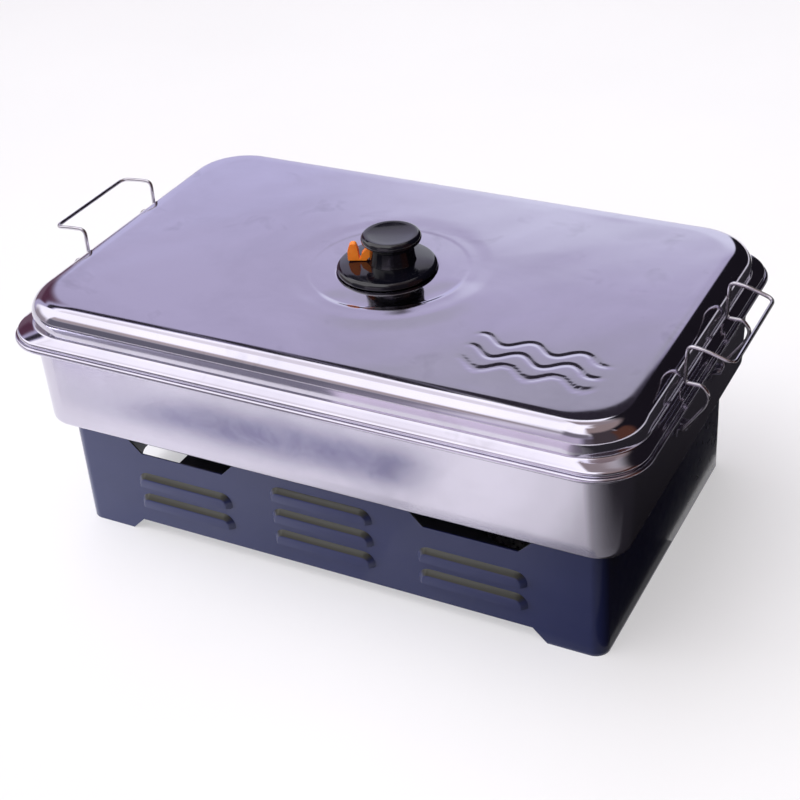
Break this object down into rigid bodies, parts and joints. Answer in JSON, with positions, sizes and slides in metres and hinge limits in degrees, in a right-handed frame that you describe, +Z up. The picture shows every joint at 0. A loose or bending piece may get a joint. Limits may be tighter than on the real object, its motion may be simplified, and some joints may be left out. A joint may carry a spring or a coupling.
{
  "type": "hot smoker box",
  "caption": "Portable spirit-fired hot smoker: a stainless pan and domed lid with a vented knob, clipped by wire bails, on a louvred sheet-steel burner stand",
  "frame": {"origin": "on the floor, at the middle of the object's box seen from above", "axes": "+Z up; +X along the long side, toward the right bail seen from the front; -Y toward the front"},
  "size_m": [0.4782, 0.2764, 0.1974],
  "materials": {
    "dark_paint": "satin-gloss dark navy enamel on sheet steel",
    "stainless": "polished stainless sheet, almost a mirror",
    "bright_wire": "bright drawn stainless wire",
    "black_plastic": "glossy black phenolic plastic",
    "orange_plastic": "satin orange plastic",
    "brass": "turned brass",
    "tinned_steel": "dull tinned steel",
    "mineral_wool": "fibrous off-white wadding",
    "wire_gauze": "fine woven wire gauze"
  },
  "bodies": {
    "stand_body": {"stand_shell": "dark_paint"},
    "pan_body": {"pan": "stainless", "bail_lug_left_front": "stainless", "bail_lug_left_rear": "stainless", "bail_lug_right_front": "stainless", "bail_lug_right_rear": "stainless"},
    "tray_body": {"drip_tray": "stainless"},
    "rack_body": {"rack_grid": "bright_wire", "rack_leg_left": "bright_wire", "rack_leg_right": "bright_wire"},
    "lid_body": {"lid": "stainless", "knob_base": "black_plastic", "knob_grip": "black_plastic", "knob_insert": "brass", "knob_washer": "stainless", "knob_screw": "tinned_steel"},
    "vent_body": {"vent_lever": "orange_plastic", "vent_shutter": "stainless"},
    "bail_left_body": {"bail_left": "bright_wire"},
    "bail_right_body": {"bail_right": "bright_wire"},
    "burner_left_body": {"burner_left_cup": "tinned_steel", "burner_left_wadding": "mineral_wool", "burner_left_gauze": "wire_gauze", "burner_left_collar": "tinned_steel"},
    "burner_right_body": {"burner_right_cup": "tinned_steel", "burner_right_wadding": "mineral_wool", "burner_right_gauze": "wire_gauze", "burner_right_collar": "tinned_steel"},
    "snuffer_left_body": {"burner_left_snuffer": "stainless"},
    "snuffer_right_body": {"burner_right_snuffer": "stainless"}
  },
  "joints": [
    {"name": "pan_lift", "type": "slide", "parent": "stand_body", "child": "pan_body", "axis": [0, 0, 1], "range_m": [0, 0.1]},
    {"name": "drip_tray_lift", "type": "slide", "parent": "pan_body", "child": "tray_body", "axis": [0, 0, 1], "range_m": [0, 0.08]},
    {"name": "rack_lift", "type": "slide", "parent": "tray_body", "child": "rack_body", "axis": [0, 0, 1], "range_m": [0, 0.08]},
    {"name": "lid_lift", "type": "slide", "parent": "rack_body", "child": "lid_body", "axis": [0, 0, 1], "range_m": [0, 0.08], "deforming": ["bail_left", "bail_right"]},
    {"name": "vent_turn", "type": "hinge", "parent": "lid_body", "child": "vent_body", "pos_m": [0.0023, 0.0013, 0.1714], "axis": [0, 0, -1], "range_deg": [0, 60]},
    {"name": "bail_left_swing", "type": "hinge", "parent": "pan_body", "child": "bail_left_body", "pos_m": [-0.2085, 0, 0.1245], "axis": [0, -1, 0], "range_deg": [0, 150]},
    {"name": "bail_right_swing", "type": "hinge", "parent": "pan_body", "child": "bail_right_body", "pos_m": [0.2085, 0, 0.1245], "axis": [0, 1, 0], "range_deg": [0, 150]},
    {"name": "burner_left_lift", "type": "slide", "parent": "stand_body", "child": "burner_left_body", "axis": [0, 0, 1], "range_m": [0, 0.03]},
    {"name": "burner_right_lift", "type": "slide", "parent": "stand_body", "child": "burner_right_body", "axis": [0, 0, 1], "range_m": [0, 0.03]},
    {"name": "snuffer_left_lift", "type": "slide", "parent": "burner_left_body", "child": "snuffer_left_body", "axis": [0, 0, 1], "range_m": [0, 0.02]},
    {"name": "snuffer_right_lift", "type": "slide", "parent": "burner_right_body", "child": "snuffer_right_body", "axis": [0, 0, 1], "range_m": [0, 0.02]}
  ]
}
